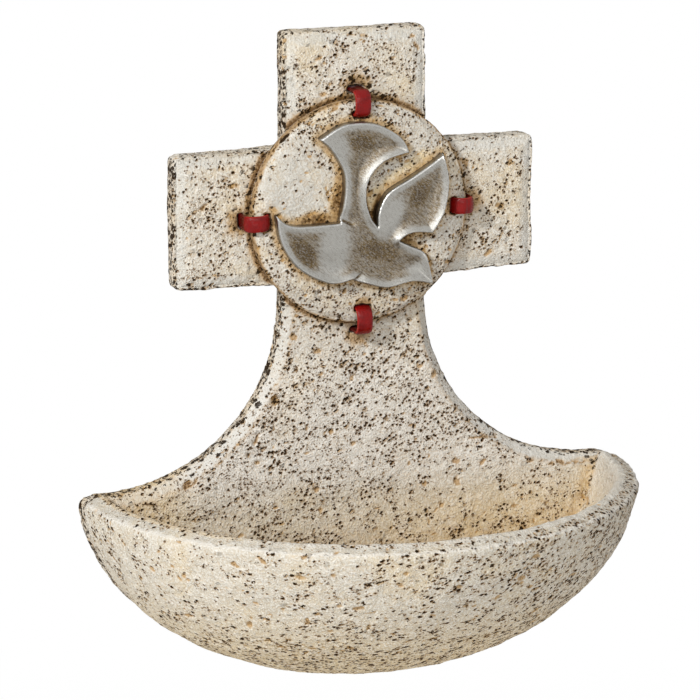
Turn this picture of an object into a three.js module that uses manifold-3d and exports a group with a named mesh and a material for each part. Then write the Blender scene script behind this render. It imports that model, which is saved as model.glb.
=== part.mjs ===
// Wall-hung holy water stoup. A cast-stone cross flares out at its foot into the back of a half-round
// basin. A round stone medallion lies on the crossing, held by four red enamelled straps that pass
// through it like staples, and carries a cast pewter dove. A keyhole plate let into the back hangs it.
//
// Frame, in millimetres: the wall is the plane Y = 0, the front faces -Y and +Z is up. The origin is
// the middle of the crossing, on the back face.

import * as THREE from "three";
import { mergeVertices } from "three/addons/utils/BufferGeometryUtils.js";
import Module from "manifold-3d";

// Driving dimensions
const SLAB_THICKNESS = 7; // the cross and its flared foot
const SLAB_EDGE = 1.4; // worn round along the front edge
const BOND = 0.3; // cement line between two cast pieces
const CLEARANCE = 0.3; // around a leg, stud or pin in its hole

const CROSS = {
  armReach: 52.6,
  armTipHalfHeight: 18.6,
  armRootHalfHeight: 19.3,
  headHalfWidth: 20.8,
  headTop: 51.2,
  cornerRadius: 2,
};
const FLARE = { radius: 50.2, neckHalfWidth: 21.2, centreZ: -25, shoulderDrop: 3.4, chamfer: 3 };
const BASIN = {
  radius: 80, // at the spring line, where the outer wall would stand upright
  springZ: -67,
  depth: 61.6,
  power: 2.24, // a superellipse a little fuller than an ellipse
  flattening: 0.18, // how much shallower, front to back, the plan is at the foot than at the rim
  wall: 6.8,
  floor: 7,
  rimOuterZ: -76,
  rimInnerZ: -74,
  rimRound: 1.1,
};
const MEDALLION = { radius: 31.3, thickness: 4.5, edgeRound: 2, centreZ: 1 };
const STRAP = { innerReach: 26.4, width: 4.5, thickness: 1.5, legDepth: 3, bend: 2.6 };
const DOVE = { thickness: 3.6, edge: 0.4, studRadius: 1.2, studLength: 3 };
const DOWEL = {
  basinRadius: 1.6,
  basinZ: -84, // the upper two, in the thick of the basin's wall
  basinInSlab: 4.6,
  basinInWall: 6,
  medallionRadius: 2,
  medallionInSlab: 3,
};
const HANGER = {
  centreZ: 42.1,
  width: 34,
  height: 14.6,
  thickness: 1.2,
  cornerRadius: 2.5,
  setback: 0.2, // the plate lies this far under the back face
  entryZ: 40.4,
  entryRadius: 3.8,
  slotTopZ: 45.2,
  slotHalfWidth: 2,
  headRoom: 3.4, // behind the plate, for the head of the wall screw
  screwX: 12.5,
};
const SCREW = {
  headRadius: 2.6,
  shankRadius: 1.3,
  headHeight: 1.1,
  length: 5,
  slotWidth: 0.8,
  slotDepth: 0.5,
  slotTurn: 0.5, // radians from level, one screw each way
};

// Round pieces are turned in this many steps, and curves are cut into this many chords
const TURN = { basin: 72, flare: 80, medallion: 64, pin: 20 };
const CHORDS = { flare: 20, basin: 18, dove: 6, corner: 4, keyhole: 16 };

// Depths from the wall
const FRONT_JOINT = SLAB_THICKNESS + BOND; // back of the medallion and of the basin
const MEDALLION_FACE = FRONT_JOINT + MEDALLION.thickness;
const HANGER_RECESS = HANGER.setback + HANGER.thickness + CLEARANCE;

// Cutting tools: blocks wider than the whole object, and how far a tool starts outside the face it cuts
const BEYOND = 400;
const THROUGH = 1;

// Finishes
const STONE = { color: 0xcfc4b2, roughness: 0.9, metalness: 0 };
const PEWTER = { color: 0x9a968f, roughness: 0.38, metalness: 1 };
const ENAMEL = { color: 0x9c1f22, roughness: 0.4, metalness: 0 };
const STEEL = { color: 0xb4b6b8, roughness: 0.35, metalness: 1 };

const wasm = await Module();
wasm.setup();

// Solids: a closed geometry as something that can be cut and joined, and back again
function solid(geometry) {
  const bare = geometry.index ? geometry.toNonIndexed() : geometry.clone();
  const positions = new THREE.BufferGeometry().setAttribute("position", bare.getAttribute("position"));
  const merged = mergeVertices(positions, 1e-4);
  return new wasm.Manifold(
    new wasm.Mesh({
      numProp: 3,
      vertProperties: merged.attributes.position.array,
      triVerts: new Uint32Array(merged.index.array),
    }),
  );
}

function geometryOf(body) {
  const { vertProperties, triVerts } = body.getMesh();
  const geometry = new THREE.BufferGeometry();
  geometry.setAttribute("position", new THREE.BufferAttribute(vertProperties, 3));
  geometry.setIndex(new THREE.BufferAttribute(triVerts, 1));
  geometry.computeVertexNormals();
  return geometry;
}

const cutAway = (body, tools) => tools.reduce((left, tool) => left.subtract(tool), body);
const joined = (bodies) => bodies.reduce((whole, body) => whole.add(body));

// An outline drawn in X and Z, pushed out from the back depth towards the front
function pushedOut(outline, backDepth, thickness) {
  const geometry = new THREE.ExtrudeGeometry(outline, { depth: thickness, bevelEnabled: false });
  return geometry.rotateX(Math.PI / 2).translate(0, -backDepth, 0);
}

// The same with the rim rounded over; the outline is the widest section
function roundedOut(outline, backDepth, thickness, edge) {
  const geometry = new THREE.ExtrudeGeometry(outline, {
    depth: thickness - 2 * edge,
    bevelThickness: edge,
    bevelSize: edge,
    bevelOffset: -edge,
    bevelSegments: 2,
  });
  return geometry.rotateX(Math.PI / 2).translate(0, -backDepth - edge, 0);
}

// A turned piece whose axis points out of the wall; the profile holds (radius, depth) points
function turnedFromWall(profile, steps) {
  const points = profile.map(([radius, depth]) => new THREE.Vector2(radius, depth));
  return new THREE.LatheGeometry(points, steps).rotateX(Math.PI);
}

function pin(x, z, radius, fromDepth, toDepth) {
  const profile = [[0, fromDepth], [radius, fromDepth], [radius, toDepth], [0, toDepth]];
  return turnedFromWall(profile, TURN.pin).translate(x, 0, z);
}

function block(width, depth, height, x, y, z) {
  return new THREE.BoxGeometry(width, depth, height).translate(x, y, z);
}

// Basin section: (radius, Z) along a superellipse from the height given down to the axis
function basinCurve(radius, depth, fromZ) {
  const start = Math.asin(((BASIN.springZ - fromZ) / depth) ** (BASIN.power / 2));
  return Array.from({ length: CHORDS.basin + 1 }, (_, i) => {
    const angle = start + ((Math.PI / 2 - start) * i) / CHORDS.basin;
    const across = Math.cos(angle) ** (2 / BASIN.power);
    const down = Math.sin(angle) ** (2 / BASIN.power);
    return [i === CHORDS.basin ? 0 : radius * across, BASIN.springZ - depth * down];
  });
}

// The plan is a half circle at the rim and draws in towards the wall lower down
function flattened(geometry) {
  const position = geometry.getAttribute("position");
  const height = BASIN.rimOuterZ - (BASIN.springZ - BASIN.depth);
  for (let i = 0; i < position.count; i += 1) {
    const drop = THREE.MathUtils.clamp((BASIN.rimOuterZ - position.getZ(i)) / height, 0, 1);
    position.setY(i, position.getY(i) * (1 - BASIN.flattening * drop));
  }
  return geometry;
}

const outerCurve = (fromZ) => basinCurve(BASIN.radius, BASIN.depth, fromZ);
const innerCurve = (fromZ) => basinCurve(BASIN.radius - BASIN.wall, BASIN.depth - BASIN.floor, fromZ);

// Middle of the basin's wall at a height, where its dowels stand
function wallMiddle(z) {
  const reach = (radius, depth) =>
    radius * (1 - ((BASIN.springZ - z) / depth) ** BASIN.power) ** (1 / BASIN.power);
  const outer = reach(BASIN.radius, BASIN.depth);
  const inner = reach(BASIN.radius - BASIN.wall, BASIN.depth - BASIN.floor);
  return (outer + inner) / 2;
}

const BASIN_DOWELS = [
  ["basin_dowel_left", -wallMiddle(DOWEL.basinZ), DOWEL.basinZ],
  ["basin_dowel_right", wallMiddle(DOWEL.basinZ), DOWEL.basinZ],
  ["basin_dowel_lower", 0, BASIN.springZ - BASIN.depth + BASIN.floor / 2],
];
// The straps are set by hand: each one's turn from +X in degrees, and how far out it reaches
const STRAPS = [
  { name: "strap_right", turn: 0, outerReach: 33.2 },
  { name: "strap_top", turn: 90, outerReach: 34.4 },
  { name: "strap_left", turn: 182, outerReach: 34 },
  { name: "strap_bottom", turn: 271, outerReach: 34.8 },
];
const DOVE_STUDS = [[-14, -9], [-1, 19], [15, 3]];

// Cross, flared foot and basin back: right half from the top down, then mirrored
function slabOutline() {
  const { armReach, armTipHalfHeight, armRootHalfHeight, headHalfWidth, headTop, cornerRadius } = CROSS;
  const half = new THREE.Path();
  const corner = (x, z, toX, toZ) => half.quadraticCurveTo(x, z, toX, toZ);
  half.moveTo(0, headTop);
  half.lineTo(headHalfWidth - cornerRadius, headTop);
  corner(headHalfWidth, headTop, headHalfWidth, headTop - cornerRadius);
  half.lineTo(headHalfWidth, armRootHalfHeight);
  half.lineTo(armReach - cornerRadius, armTipHalfHeight);
  corner(armReach, armTipHalfHeight, armReach, armTipHalfHeight - cornerRadius);
  half.lineTo(armReach, cornerRadius - armTipHalfHeight);
  corner(armReach, -armTipHalfHeight, armReach - cornerRadius, -armTipHalfHeight);
  half.lineTo(FLARE.neckHalfWidth, -armRootHalfHeight);
  const centreX = FLARE.neckHalfWidth + FLARE.radius;
  const flare = Array.from({ length: CHORDS.flare + 1 }, (_, i) => {
    const angle = Math.PI + ((Math.PI / 2) * i) / CHORDS.flare;
    return [centreX + FLARE.radius * Math.cos(angle), FLARE.centreZ + FLARE.radius * Math.sin(angle)];
  });
  flare.forEach(([x, z]) => half.lineTo(x, z));
  const shoulderZ = FLARE.centreZ - FLARE.radius;
  const [first, ...below] = outerCurve(shoulderZ - FLARE.shoulderDrop);
  corner(first[0], shoulderZ, ...first);
  below.forEach(([x, z]) => half.lineTo(x, z));
  const right = half.getPoints(CHORDS.corner);
  const left = right.slice(1, -1).reverse();
  return new THREE.Shape([...right, ...left.map(({ x, y }) => new THREE.Vector2(-x, y))].reverse());
}

// The flare's front edge is cut back along its curve, below the crossing only
function chamferTools() {
  const { radius, chamfer, centreZ, neckHalfWidth } = FLARE;
  const past = 1.5; // the cone runs this far past both ends of the chamfer
  const low = SLAB_THICKNESS - chamfer - past;
  const high = SLAB_THICKNESS + past;
  const cone = [[0, low], [radius - past, low], [radius + chamfer + past, high], [0, high]];
  const crossing = solid(block(BEYOND, BEYOND, BEYOND, 0, 0, BEYOND / 2 + centreZ));
  return [-1, 1].map((side) => {
    const centreX = side * (neckHalfWidth + radius);
    const whole = turnedFromWall(cone, TURN.flare).translate(centreX, 0, centreZ);
    return solid(whole).subtract(crossing);
  });
}

// Strap: a flat staple, seen along its width, with (distance from the medallion's centre, depth)
function strapSection(outerReach, grow) {
  const { innerReach, thickness, legDepth, bend } = STRAP;
  const top = MEDALLION_FACE + CLEARANCE + thickness + grow;
  const foot = SLAB_THICKNESS - legDepth - grow;
  const inner = innerReach - grow;
  const outer = outerReach + grow;
  const section = new THREE.Shape();
  section.moveTo(inner, foot);
  section.lineTo(inner, top - bend);
  section.quadraticCurveTo(inner, top, inner + bend, top);
  section.lineTo(outer - bend, top);
  section.quadraticCurveTo(outer, top, outer, top - bend);
  section.lineTo(outer, foot);
  section.lineTo(outer - thickness - 2 * grow, foot);
  section.lineTo(outer - thickness - 2 * grow, MEDALLION_FACE + CLEARANCE);
  section.lineTo(inner + thickness + 2 * grow, MEDALLION_FACE + CLEARANCE);
  section.lineTo(inner + thickness + 2 * grow, foot);
  section.closePath();
  return section;
}

// The section's depth axis becomes -Y, its reach +X, and its width runs along Z before it is turned
function strapGeometry({ turn, outerReach }, grow = 0) {
  const width = STRAP.width + 2 * grow;
  const geometry = new THREE.ExtrudeGeometry(strapSection(outerReach, grow), {
    depth: width,
    bevelEnabled: false,
    curveSegments: CHORDS.corner,
  });
  return geometry
    .translate(0, 0, -width / 2)
    .rotateX(Math.PI)
    .rotateY(-THREE.MathUtils.degToRad(turn))
    .translate(0, 0, MEDALLION.centreZ);
}

const strapHoles = STRAPS.map((strap) => solid(strapGeometry(strap, CLEARANCE)));

// Dove: descending, tail uppermost, wings to each side, head low and turned to the right
function doveOutline() {
  const sides = [
    { tip: [-13, 22.6], through: [[-6, 26.3], [2.8, 26.1], [10.2, 22]] },
    { tip: [12.9, 17.6], through: [[5.8, 15.6], [1.3, 11.2], [0.2, 5.6], [1.6, 0.2]] },
    { tip: [3.7, -2.9], through: [[4, 1.6], [6.8, 6.6], [13.7, 10.5], [20, 14.3]] },
    { tip: [22.9, 16.4], through: [[24.5, 9], [23.2, 0.2]] },
    { tip: [19.6, -5.6], through: [[14.6, -5.1], [11.7, -5.8]] },
    { tip: [10, -7.1], through: [[13.1, -8.7], [17.4, -11], [18.9, -15]] },
    { tip: [20, -20.1], through: [[13.8, -18.9], [6.5, -20.1], [0.6, -18.7]] },
    { tip: [-3.8, -17.1], through: [[-10.3, -17.8], [-19, -13.2], [-24.2, -5.4]] },
    { tip: [-25.6, 2.2], through: [[-22.6, -0.3], [-17.8, -1.2]] },
    { tip: [-7.3, -1], through: [[-5.9, 6.8], [-6.2, 13.3], [-9.7, 19.4]] },
  ];
  const vector = ([x, z]) => new THREE.Vector2(x, z);
  const points = sides.flatMap(({ tip, through }, i) => {
    const next = sides[(i + 1) % sides.length].tip;
    const curve = new THREE.SplineCurve([tip, ...through, next].map(vector));
    return curve.getPoints(CHORDS.dove * (through.length + 1) / 2).slice(0, -1);
  });
  return new THREE.Shape(points.reverse());
}

function roundedRectangle(halfWidth, halfHeight, radius, centreZ) {
  const shape = new THREE.Shape();
  const low = centreZ - halfHeight;
  const high = centreZ + halfHeight;
  shape.absarc(halfWidth - radius, low + radius, radius, -Math.PI / 2, 0);
  shape.absarc(halfWidth - radius, high - radius, radius, 0, Math.PI / 2);
  shape.absarc(radius - halfWidth, high - radius, radius, Math.PI / 2, Math.PI);
  shape.absarc(radius - halfWidth, low + radius, radius, Math.PI, (3 * Math.PI) / 2);
  return shape.closePath();
}

// Keyhole: a round way in for the screw's head below a slot for its shank
function keyhole(grow) {
  const slot = HANGER.slotHalfWidth + grow;
  const entry = HANGER.entryRadius + grow;
  const shoulder = Math.acos(slot / entry);
  const shape = new THREE.Shape();
  shape.absarc(0, HANGER.slotTopZ, slot, 0, Math.PI);
  shape.absarc(0, HANGER.entryZ, entry, Math.PI - shoulder, 2 * Math.PI + shoulder);
  return shape.closePath();
}

function screwSection(grow) {
  const face = HANGER.setback - grow;
  return [
    [0, face],
    [SCREW.headRadius + grow, face],
    [SCREW.shankRadius + grow, HANGER.setback + SCREW.headHeight + grow],
    [SCREW.shankRadius + grow, HANGER.setback + SCREW.length + grow],
    [0, HANGER.setback + SCREW.length + grow],
  ];
}

const screwAt = (x, grow) =>
  turnedFromWall(screwSection(grow), TURN.pin).translate(x, 0, HANGER.centreZ);

// Pieces
function makeSlab() {
  const rough = roundedOut(slabOutline(), -SLAB_EDGE, SLAB_THICKNESS + SLAB_EDGE, SLAB_EDGE);
  const behindWall = block(BEYOND, BEYOND, BEYOND, 0, BEYOND / 2, 0);
  const plateSeat = roundedRectangle(
    HANGER.width / 2 + CLEARANCE,
    HANGER.height / 2 + CLEARANCE,
    HANGER.cornerRadius,
    HANGER.centreZ,
  );
  const tools = [
    behindWall,
    pushedOut(plateSeat, -THROUGH, HANGER_RECESS + THROUGH),
    pushedOut(keyhole(1), -THROUGH, HANGER_RECESS + HANGER.headRoom + THROUGH),
    pin(0, MEDALLION.centreZ, DOWEL.medallionRadius + CLEARANCE,
      SLAB_THICKNESS - DOWEL.medallionInSlab - CLEARANCE, SLAB_THICKNESS + THROUGH),
    ...[-HANGER.screwX, HANGER.screwX].map((x) => screwAt(x, CLEARANCE / 2)),
    ...BASIN_DOWELS.map(([, x, z]) =>
      pin(x, z, DOWEL.basinRadius + CLEARANCE,
        SLAB_THICKNESS - DOWEL.basinInSlab - CLEARANCE, SLAB_THICKNESS + THROUGH)),
  ];
  return geometryOf(cutAway(solid(rough), [...tools.map(solid), ...chamferTools(), ...strapHoles]));
}

function makeBasin() {
  const { rimRound, rimOuterZ, rimInnerZ } = BASIN;
  const outer = outerCurve(rimOuterZ - rimRound).reverse();
  const inner = innerCurve(rimInnerZ - rimRound);
  const outerEdge = outer.at(-1)[0];
  const innerEdge = inner[0][0];
  const lip = [[outerEdge - rimRound / 2, rimOuterZ], [innerEdge + rimRound, rimInnerZ]];
  const profile = [...outer, ...lip, ...inner].map(([radius, z]) => new THREE.Vector2(radius, z));
  const turned = new THREE.LatheGeometry(profile, TURN.basin).rotateX(Math.PI / 2);
  const whole = flattened(turned).translate(0, -SLAB_THICKNESS, 0);
  const backHalf = block(BEYOND, BEYOND, BEYOND, 0, BEYOND / 2 - FRONT_JOINT, 0);
  const holes = BASIN_DOWELS.map(([, x, z]) =>
    pin(x, z, DOWEL.basinRadius + CLEARANCE, SLAB_THICKNESS,
      FRONT_JOINT + DOWEL.basinInWall + CLEARANCE));
  return geometryOf(cutAway(solid(whole), [backHalf, ...holes].map(solid)));
}

function makeMedallion() {
  const { radius, edgeRound, centreZ } = MEDALLION;
  const cornerDepth = MEDALLION_FACE - edgeRound;
  const round = Array.from({ length: CHORDS.corner + 1 }, (_, i) => {
    const angle = ((Math.PI / 2) * i) / CHORDS.corner;
    return [radius - edgeRound + edgeRound * Math.cos(angle), cornerDepth + edgeRound * Math.sin(angle)];
  });
  const profile = [[0, FRONT_JOINT], [radius, FRONT_JOINT], ...round, [0, MEDALLION_FACE]];
  const disc = turnedFromWall(profile, TURN.medallion).translate(0, 0, centreZ);
  const dowelEnd = MEDALLION_FACE - DOWEL.medallionRadius;
  const centreHole = pin(0, centreZ, DOWEL.medallionRadius + CLEARANCE, SLAB_THICKNESS, dowelEnd + CLEARANCE);
  const studHoles = DOVE_STUDS.map(([x, z]) =>
    pin(x, z, DOVE.studRadius + CLEARANCE, MEDALLION_FACE - DOVE.studLength, MEDALLION_FACE + THROUGH));
  return geometryOf(cutAway(solid(disc), [...[centreHole, ...studHoles].map(solid), ...strapHoles]));
}

function makeDove() {
  const back = MEDALLION_FACE + BOND;
  const casting = roundedOut(doveOutline(), back, DOVE.thickness, DOVE.edge);
  const studs = DOVE_STUDS.map(([x, z]) =>
    pin(x, z, DOVE.studRadius, MEDALLION_FACE - DOVE.studLength + CLEARANCE, back + DOVE.edge * 2));
  return geometryOf(joined([casting, ...studs].map(solid)));
}

function makeHangerPlate() {
  const outline = roundedRectangle(HANGER.width / 2, HANGER.height / 2, HANGER.cornerRadius, HANGER.centreZ);
  const plate = pushedOut(outline, HANGER.setback, HANGER.thickness);
  const tools = [
    pushedOut(keyhole(0), -THROUGH, HANGER_RECESS + 2 * THROUGH),
    ...[-HANGER.screwX, HANGER.screwX].map((x) => screwAt(x, CLEARANCE / 2)),
  ];
  return geometryOf(cutAway(solid(plate), tools.map(solid)));
}

function makeScrew(x, turn) {
  const cut = SCREW.slotDepth + THROUGH;
  const slot = block(3 * SCREW.headRadius, cut, SCREW.slotWidth, 0, cut / 2, 0);
  slot.rotateY(turn).translate(x, -HANGER.setback - SCREW.slotDepth, HANGER.centreZ);
  return geometryOf(cutAway(solid(screwAt(x, 0)), [solid(slot)]));
}

// Assembly
const stoup = new THREE.Group();

function place(name, geometry, finish) {
  const mesh = new THREE.Mesh(geometry, new THREE.MeshStandardMaterial(finish));
  mesh.name = name;
  stoup.add(mesh);
}

place("cross_slab", makeSlab(), STONE);
place("basin", makeBasin(), STONE);
place("medallion", makeMedallion(), STONE);
place("dove", makeDove(), PEWTER);
STRAPS.forEach((strap) => place(strap.name, geometryOf(solid(strapGeometry(strap))), ENAMEL));
place("medallion_dowel", pin(0, MEDALLION.centreZ, DOWEL.medallionRadius,
  SLAB_THICKNESS - DOWEL.medallionInSlab, MEDALLION_FACE - DOWEL.medallionRadius), STEEL);
BASIN_DOWELS.forEach(([name, x, z]) =>
  place(name, pin(x, z, DOWEL.basinRadius, SLAB_THICKNESS - DOWEL.basinInSlab,
    FRONT_JOINT + DOWEL.basinInWall), STEEL));
place("hanger_plate", makeHangerPlate(), STEEL);
place("hanger_screw_left", makeScrew(-HANGER.screwX, SCREW.slotTurn), STEEL);
place("hanger_screw_right", makeScrew(HANGER.screwX, -SCREW.slotTurn), STEEL);

export default stoup;
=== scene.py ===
"""Looks for a wall-hung holy water stoup: cast stone, a pewter dove and red enamelled straps."""

import math

import bmesh
import bpy
import numpy as np
from bpy.props import FloatProperty, FloatVectorProperty, IntProperty, PointerProperty
from mathutils import Matrix, Vector, kdtree, noise
from mathutils.geometry import delaunay_2d_cdt


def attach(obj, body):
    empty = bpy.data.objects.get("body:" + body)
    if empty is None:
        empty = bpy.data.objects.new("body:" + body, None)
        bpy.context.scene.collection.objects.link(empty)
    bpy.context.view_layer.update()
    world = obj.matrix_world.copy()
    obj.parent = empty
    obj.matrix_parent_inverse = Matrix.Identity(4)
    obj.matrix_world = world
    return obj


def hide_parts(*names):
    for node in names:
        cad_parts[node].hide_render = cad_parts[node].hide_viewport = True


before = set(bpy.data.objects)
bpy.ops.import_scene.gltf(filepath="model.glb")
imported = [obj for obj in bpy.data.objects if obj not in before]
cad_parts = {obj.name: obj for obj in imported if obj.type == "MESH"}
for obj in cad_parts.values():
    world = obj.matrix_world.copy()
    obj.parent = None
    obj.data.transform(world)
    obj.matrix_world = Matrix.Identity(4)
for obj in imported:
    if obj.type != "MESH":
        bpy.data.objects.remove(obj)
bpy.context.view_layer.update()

bl_info = {
    "name": "Holy water stoup",
    "version": (1, 0, 0),
    "blender": (4, 5, 0),
    "location": "View3D > Sidebar > Stoup",
    "description": "Dresses the stoup's frame in cast stone, pewter and enamel",
    "category": "Object",
}

MM = 0.001
SEED = 41

# Sizes shared with the frame, in millimetres: the wall is Y = 0 and the front faces -Y
HEAD_TOP = 51.2
HEAD_HALF = 20.8
ARM_REACH = 52.6
ARM_HALF = 18.9
SLAB_FACE = -7.0
FLARE_CENTRE = (71.4, -25.0)
FLARE_RADIUS = 50.2
FLARE_CHAMFER = 3.0
LIP_Z = -75.0
FOOT_Z = -128.6
BASIN_SPRING = -67.0
INNER_RADIUS = 73.2
INNER_DEPTH = 54.6
BASIN_POWER = 2.24
DISC_CENTRE = (0.0, 1.0)
DISC_RADIUS = 31.3
DISC_FACE = -11.8
STRAP_INNER = 26.4
JOINT_PLANE = -7.7
# How far the basin is pushed into the cross before the two are cast as one
JOINT_OVERLAP = 0.6
# Each strap's turn from +X in degrees, and how far out it reaches
STRAPS = {"right": (0, 33.2), "top": (90, 34.4), "left": (182, 34.0), "bottom": (271, 34.8)}


def shade(red, green, blue):
    """A colour given as it looks on screen, 0 to 255, as Blender's linear colour."""
    parts = [part / 255 for part in (red, green, blue)]
    return [p / 12.92 if p <= 0.04045 else ((p + 0.055) / 1.055) ** 2.4 for p in parts]


def length(name, default, text):
    return FloatProperty(name=name, description=text, default=default, unit="LENGTH", precision=5)


def bearing(name, degrees, text):
    return FloatProperty(name=name, description=text, default=math.radians(degrees), subtype="ANGLE")


def watts(name, default, text):
    return FloatProperty(name=name, description=text, default=default, unit="POWER", min=0)


def tally(name, default, text):
    return IntProperty(name=name, description=text, default=default, min=0)


def colour(name, screen, text):
    """A colour setting, given as the colour looks on screen, 0 to 255."""
    return FloatVectorProperty(
        name=name, description=text, default=shade(*screen), size=3, subtype="COLOR", min=0, max=1
    )


class StoneSettings(bpy.types.PropertyGroup):
    """Cast stone of the cross, the basin and the medallion"""

    voxel: length("Casting grain", 0.0006, "Face size of the cross and the basin")
    disc_voxel: length("Medallion grain", 0.00034, "Face size of the medallion")
    wear_steps: tally("Edge wear", 5, "Rounds of softening")
    pits: tally("Pits", 700, "Pits sunk in the cross and the basin")
    disc_pits: tally("Medallion pits", 110, "Pits sunk in the medallion")
    cream: colour("Cream", (208, 201, 187), "Main colour of the cross")
    bowl: colour("Bowl cream", (208, 200, 184), "Main colour of the basin")
    disc: colour("Medallion cream", (197, 191, 179), "Main colour of the medallion")
    # Warm also paints warm light on the inside of the basin
    warm: colour("Warm", (224, 200, 154), "Warmer patches")
    # Pale also paints highlights on the basin's lip and the lower lips of pores, and light on the foot of
    # the cross behind the basin and inside the basin
    pale: colour("Pale", (238, 234, 226), "Rubbed edges")
    cool: colour("Cool", (202, 202, 197), "Smooth bevelled edges")
    # Tan and umber also paint shade round the medallion, at the straps' ends, beside the dove's neck and
    # inside the basin
    tan: colour("Tan", (179, 140, 84), "Thin brown wash")
    brown: colour("Brown", (124, 87, 40), "Bottom of a shallow pore")
    umber: colour("Umber", (88, 57, 24), "Thick brown wash")
    # Pore also paints the shadow in the upper end of pores, dents and pits, and in the narrow end of the
    # channel beside the dove's neck
    pore: colour("Pore", (40, 27, 12), "Bottom of a pore")


class DoveSettings(bpy.types.PropertyGroup):
    """Cast pewter dove"""

    spacing: length("Mesh spacing", 0.00032, "Distance between points of the modelled face")
    edge: length("Edge height", 0.0029, "Height of the upright edge above the medallion")
    rim: length("Rim height", 0.0035, "Height of a rim that faces up or left")
    lift: length("Rim lift", 0.0010, "How much higher a rim that faces down or right stands")
    dish: length("Dish", 0.0016, "How far the face sinks inside its rim")
    seam: length("Seam step", 0.0007, "How far the left wing stands over the body")
    metal: colour("Pewter", (168, 166, 160), "Bare metal")
    bright: colour("Rubbed pewter", (184, 184, 182), "Rubbed rims")
    patina: colour("Patina", (108, 88, 52), "Brown left in the hollows")
    soot: colour("Dark patina", (60, 46, 30), "Brown left in the brush marks")


class StrapSettings(bpy.types.PropertyGroup):
    """Red enamelled straps"""

    width: length("Width", 0.0045, "Across the strap")
    thickness: length("Thickness", 0.0015, "Through the strap")
    red: colour("Red", (124, 9, 8), "Enamel")
    deep: colour("Deep red", (66, 5, 5), "Enamel in the shade of the edges")
    rubbed: colour("Rubbed red", (176, 50, 40), "Enamel rubbed thin")


class FixingSettings(bpy.types.PropertyGroup):
    """Steel of the hanger and the dowels"""

    zinc: colour("Zinc", (178, 180, 183), "Plated steel")
    dull: colour("Dull zinc", (140, 142, 146), "Darker patches of the plating")
    steel: colour("Steel", (150, 146, 138), "Screws and dowels")
    dark: colour("Dark steel", (98, 94, 88), "Darker patches of the screws and dowels")


class StageSettings(bpy.types.PropertyGroup):
    """Camera, floor and light"""

    azimuth: bearing("Azimuth", -19.3, "Camera, to the left when below 0")
    elevation: bearing("Elevation", 13.57, "Camera above the horizon")
    distance: length("Distance", 1.26, "Camera to the point it looks at")
    focal: FloatProperty(name="Focal length", description="Camera lens", default=231.43, unit="CAMERA")
    floor: length("Floor", -0.5, "Height of the floor")
    ambient: FloatProperty(name="Ambient", description="Light from all round", default=0.36, min=0)
    key: watts("Key", 22.0, "Lamp at the upper left")
    front: watts("Front", 3.4, "Lamp above the camera")
    fill: watts("Fill", 6.4, "Lamp near the camera")


class StoupSettings(bpy.types.PropertyGroup):
    """Everything that can be changed"""

    stone: PointerProperty(type=StoneSettings)
    dove: PointerProperty(type=DoveSettings)
    strap: PointerProperty(type=StrapSettings)
    fixing: PointerProperty(type=FixingSettings)
    stage: PointerProperty(type=StageSettings)


# Number work


def smooth(value, low, high):
    """0 below low, 1 above high, eased between."""
    t = np.clip((value - low) / (high - low), 0, 1)
    return t * t * (3 - 2 * t)


def mottle(points, size, seed, octaves=2):
    """Seeded smooth noise at points, with features of about this size, from -1 to 1."""
    shift = Vector((seed * 17.31, seed * 5.17, seed * 9.73))
    return np.array([noise.fractal(Vector(p) / size + shift, 1.0, 2.0, octaves) for p in points])


def near_segment(points, start, end):
    """Distance of 2-D points from a segment."""
    a, b = np.array(start, float), np.array(end, float)
    along = np.clip((points - a) @ (b - a) / ((b - a) @ (b - a)), 0, 1)
    return np.linalg.norm(points - a - along[:, None] * (b - a), axis=1)


def stripe(points, start, end, half, core):
    """1 along a segment, fading out between a share of the half width and all of it."""
    return 1 - smooth(near_segment(points, start, end), core * half, half)


def patch(points, middle, low, high):
    """1 round a middle, fading out between two distances from it."""
    return 1 - smooth(np.hypot(points[:, 0] - middle[0], points[:, 1] - middle[1]), low, high)


# Mesh work


def arrays(mesh):
    """A mesh's points in millimetres and its unit normals."""
    points = np.empty(len(mesh.vertices) * 3, np.float32)
    normals = np.empty_like(points)
    mesh.vertices.foreach_get("co", points)
    mesh.vertex_normals.foreach_get("vector", normals)
    return points.reshape(-1, 3).astype(float) / MM, normals.reshape(-1, 3).astype(float)


def put_points(mesh, points):
    mesh.vertices.foreach_set("co", (points * MM).astype(np.float32).ravel())
    mesh.update()


def put_masks(mesh, **masks):
    """Stores masks from -1 to 1 on a mesh's points, where the finishes read them."""
    for name, values in masks.items():
        layer = mesh.attributes.new(name, "FLOAT", "POINT")
        layer.data.foreach_set("value", np.clip(values, -1, 1).astype(np.float32))


def add_object(name, data):
    made = bpy.data.objects.new(name, data)
    bpy.context.scene.collection.objects.link(made)
    return made


def convexity(mesh, points, normals, rounds=2):
    """How far each point stands out from its neighbours, evened out a little, in millimetres."""
    edges = np.empty(len(mesh.edges) * 2, np.int32)
    mesh.edges.foreach_get("vertices", edges)
    first, second = edges.reshape(-1, 2).T
    count = np.bincount(edges, minlength=len(points)).astype(float)

    def average(values):
        total = np.bincount(first, values[second], len(points))
        return (total + np.bincount(second, values[first], len(points))) / count

    middle = np.stack([average(points[:, axis]) for axis in range(3)], 1)
    out = ((points - middle) * normals).sum(1)
    for _ in range(rounds):
        out = average(out)
    return out


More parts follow.
